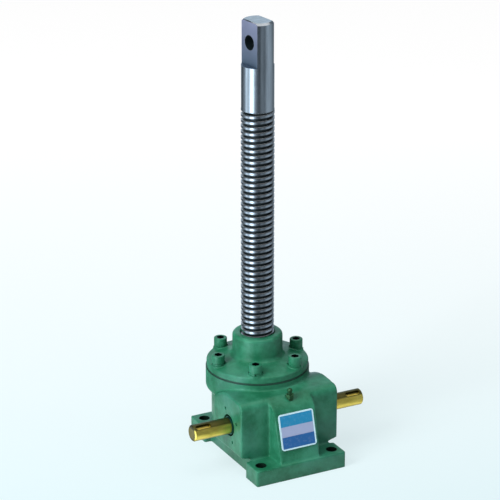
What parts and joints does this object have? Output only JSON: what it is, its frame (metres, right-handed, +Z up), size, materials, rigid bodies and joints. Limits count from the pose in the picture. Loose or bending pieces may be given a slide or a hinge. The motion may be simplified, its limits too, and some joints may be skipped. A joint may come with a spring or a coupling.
{
  "type": "worm screw jack",
  "caption": "Worm-driven screw jack: a side shaft turns a bronze nut wheel that raises an upright trapezoidal screw through a cast gearbox on bolt-down feet.",
  "frame": {"origin": "centre of the base's underside", "axes": "+Z up along the lifting screw, X along the worm shaft, -Y the front with the nameplate"},
  "size_m": [0.23, 0.178, 0.538],
  "materials": {
    "housing": "dark green gloss paint on cast iron",
    "top_cover": "dark green gloss paint on cast iron",
    "cover_gasket": "matt",
    "cover_screws": "painted over with the housing",
    "cover_spring_washers": "painted over with the housing",
    "lifting_screw": "bright turned steel",
    "worm_wheel": "machined bronze",
    "worm_shaft": "gold-coloured protective film on steel",
    "neck_guide_bush": "machined bronze",
    "base_guide_bush": "machined bronze",
    "grease_nipple": "plated",
    "nameplate": "bare plate with plain colour bands",
    "lower_thrust_housing_washer": "ground",
    "lower_thrust_shaft_washer": "ground",
    "lower_thrust_rollers": "polished",
    "lower_thrust_cage": "machined",
    "upper_thrust_housing_washer": "ground",
    "upper_thrust_shaft_washer": "ground",
    "upper_thrust_rollers": "polished",
    "upper_thrust_cage": "machined",
    "left_bearing_outer_ring": "ground",
    "left_bearing_inner_ring": "ground",
    "left_bearing_rollers": "polished",
    "left_bearing_cage": "pressed sheet",
    "left_bearing_cap": "painted over with the housing",
    "left_oil_seal": "matt",
    "right_bearing_outer_ring": "ground",
    "right_bearing_inner_ring": "ground",
    "right_bearing_rollers": "polished",
    "right_bearing_cage": "pressed sheet",
    "right_bearing_cap": "painted over with the housing",
    "right_oil_seal": "matt"
  },
  "bodies": {
    "base": {"housing": "housing", "top_cover": "top_cover", "cover_gasket": "cover_gasket", "cover_screws": "cover_screws", "cover_spring_washers": "cover_spring_washers", "neck_guide_bush": "neck_guide_bush", "base_guide_bush": "base_guide_bush", "grease_nipple": "grease_nipple", "nameplate": "nameplate", "lower_thrust_housing_washer": "lower_thrust_housing_washer", "upper_thrust_housing_washer": "upper_thrust_housing_washer", "left_bearing_outer_ring": "left_bearing_outer_ring", "right_bearing_outer_ring": "right_bearing_outer_ring", "left_bearing_cap": "left_bearing_cap", "right_bearing_cap": "right_bearing_cap", "left_oil_seal": "left_oil_seal", "right_oil_seal": "right_oil_seal"},
    "worm": {"worm_shaft": "worm_shaft", "left_bearing_inner_ring": "left_bearing_inner_ring", "right_bearing_inner_ring": "right_bearing_inner_ring"},
    "wheel": {"worm_wheel": "worm_wheel", "lower_thrust_shaft_washer": "lower_thrust_shaft_washer", "upper_thrust_shaft_washer": "upper_thrust_shaft_washer"},
    "screw": {"lifting_screw": "lifting_screw"},
    "lower_thrust_set": {"lower_thrust_rollers": "lower_thrust_rollers", "lower_thrust_cage": "lower_thrust_cage"},
    "upper_thrust_set": {"upper_thrust_rollers": "upper_thrust_rollers", "upper_thrust_cage": "upper_thrust_cage"},
    "left_roller_set": {"left_bearing_rollers": "left_bearing_rollers", "left_bearing_cage": "left_bearing_cage"},
    "right_roller_set": {"right_bearing_rollers": "right_bearing_rollers", "right_bearing_cage": "right_bearing_cage"}
  },
  "joints": [
    {"name": "worm_spin", "type": "hinge", "parent": "base", "child": "worm", "pos_m": [0, -0.0255, 0.056], "axis": [1, 0, 0], "range_deg": [-345600, 24685.71]},
    {"name": "wheel_spin", "type": "hinge", "parent": "base", "child": "wheel", "pos_m": [0, 0.0255, 0.056], "axis": [0, 0, 1], "range_deg": [-1028.57, 14400]},
    {"name": "screw_lift", "type": "slide", "parent": "base", "child": "screw", "axis": [0, 0, 1], "range_m": [-0.28, 0.02]},
    {"name": "lower_thrust_set_spin", "type": "hinge", "parent": "base", "child": "lower_thrust_set", "pos_m": [0, 0.0255, 0.056], "axis": [0, 0, 1], "range_deg": [-514.29, 7200]},
    {"name": "upper_thrust_set_spin", "type": "hinge", "parent": "base", "child": "upper_thrust_set", "pos_m": [0, 0.0255, 0.056], "axis": [0, 0, 1], "range_deg": [-514.29, 7200]},
    {"name": "left_roller_set_spin", "type": "hinge", "parent": "base", "child": "left_roller_set", "pos_m": [0, -0.0255, 0.056], "axis": [1, 0, 0], "range_deg": [-148608, 10614.86]},
    {"name": "right_roller_set_spin", "type": "hinge", "parent": "base", "child": "right_roller_set", "pos_m": [0, -0.0255, 0.056], "axis": [1, 0, 0], "range_deg": [-148608, 10614.86]}
  ],
  "couplings": [
    {"joint": "worm_spin", "follows": "screw_lift", "rad_per_m": 21542},
    {"joint": "wheel_spin", "follows": "screw_lift", "rad_per_m": -897.6},
    {"joint": "lower_thrust_set_spin", "follows": "screw_lift", "rad_per_m": -448.8},
    {"joint": "upper_thrust_set_spin", "follows": "screw_lift", "rad_per_m": -448.8},
    {"joint": "left_roller_set_spin", "follows": "screw_lift", "rad_per_m": 9263.2},
    {"joint": "right_roller_set_spin", "follows": "screw_lift", "rad_per_m": 9263.2}
  ]
}
